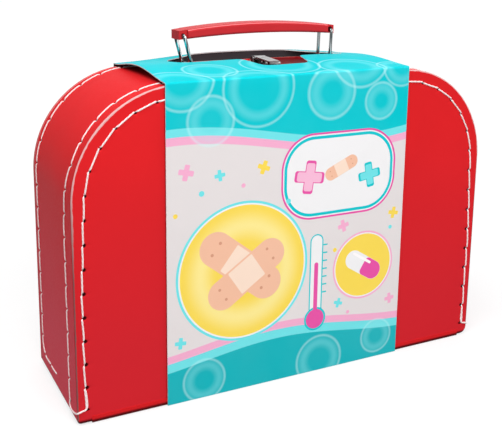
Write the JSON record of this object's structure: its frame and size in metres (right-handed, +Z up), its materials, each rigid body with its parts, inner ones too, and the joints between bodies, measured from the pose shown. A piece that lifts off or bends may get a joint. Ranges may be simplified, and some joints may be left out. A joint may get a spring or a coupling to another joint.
{
  "type": "toy doctor case",
  "caption": "Stitched red card suitcase with rounded top corners, a drop handle on wire links, a lever latch and a printed card sleeve; the lid opens forwards.",
  "frame": {"origin": "centre of the resting face, on the ground under the sleeve", "axes": "+Z up, +X along the case's length, the front face looks towards -Y"},
  "size_m": [0.2956, 0.0952, 0.2301],
  "materials": {
    "red_card": "glossy red printed card",
    "grey_fibre": "grey fibreboard",
    "lining_paper": "matt white lining paper",
    "thread": "white waxed thread",
    "red_cloth": "red bookbinding cloth",
    "bright_steel": "bright plated steel",
    "red_plastic": "glossy red moulded plastic",
    "printed_card": "glossy printed card, grey board inside"
  },
  "bodies": {
    "base": {"back_panel": "red_card", "inner_wall": "red_card", "bottom_board": "red_card", "back_corner_strip": "grey_fibre", "back_lining": "lining_paper", "back_face_stitches": "thread", "back_wall_stitches": "thread", "hinge_cloth_base": "red_cloth", "latch_strike": "bright_steel", "strike_rivets": "bright_steel", "sleeve_back": "printed_card"},
    "lid": {"front_panel": "red_card", "outer_wall": "red_card", "front_corner_strip": "grey_fibre", "lid_lining": "lining_paper", "front_face_stitches": "thread", "front_wall_stitches": "thread", "rim_stitches": "thread", "hinge_cloth_lid": "red_cloth", "handle_bracket_left": "bright_steel", "handle_bracket_right": "bright_steel", "handle_backing_plates": "bright_steel", "handle_rivets": "bright_steel", "latch_plate": "bright_steel", "latch_pin": "bright_steel", "latch_rivets": "bright_steel", "sleeve_front": "printed_card"},
    "link_left": {"handle_link_left": "bright_steel"},
    "grip": {"handle_grip": "red_plastic"},
    "link_right": {"handle_link_right": "bright_steel"},
    "latch_lever": {"latch_lever": "bright_steel"}
  },
  "joints": [
    {"name": "lid_hinge", "type": "hinge", "parent": "base", "child": "lid", "pos_m": [0, -0.0478, 0], "axis": [1, 0, 0], "range_deg": [0, 90]},
    {"name": "handle_swing", "type": "hinge", "parent": "lid", "child": "link_left", "pos_m": [-0.05, 0.017, 0.2023], "axis": [0, 1, 0], "range_deg": [-20, 25]},
    {"name": "grip_pivot", "type": "hinge", "parent": "link_left", "child": "grip", "pos_m": [-0.05557, 0.017, 0.22307], "axis": [0, 1, 0], "range_deg": [-30, 30]},
    {"name": "link_right_swing", "type": "hinge", "parent": "lid", "child": "link_right", "pos_m": [0.0548, 0.017, 0.2023], "axis": [0, 1, 0], "range_deg": [-40, 40]},
    {"name": "latch_lift", "type": "hinge", "parent": "lid", "child": "latch_lever", "pos_m": [0.005, 0.022, 0.2042], "axis": [-1, 0, 0], "range_deg": [0, 45]}
  ],
  "couplings": [
    {"joint": "grip_pivot", "follows": "handle_swing", "ratio": -0.943},
    {"joint": "link_right_swing", "follows": "handle_swing", "ratio": 0.986}
  ]
}
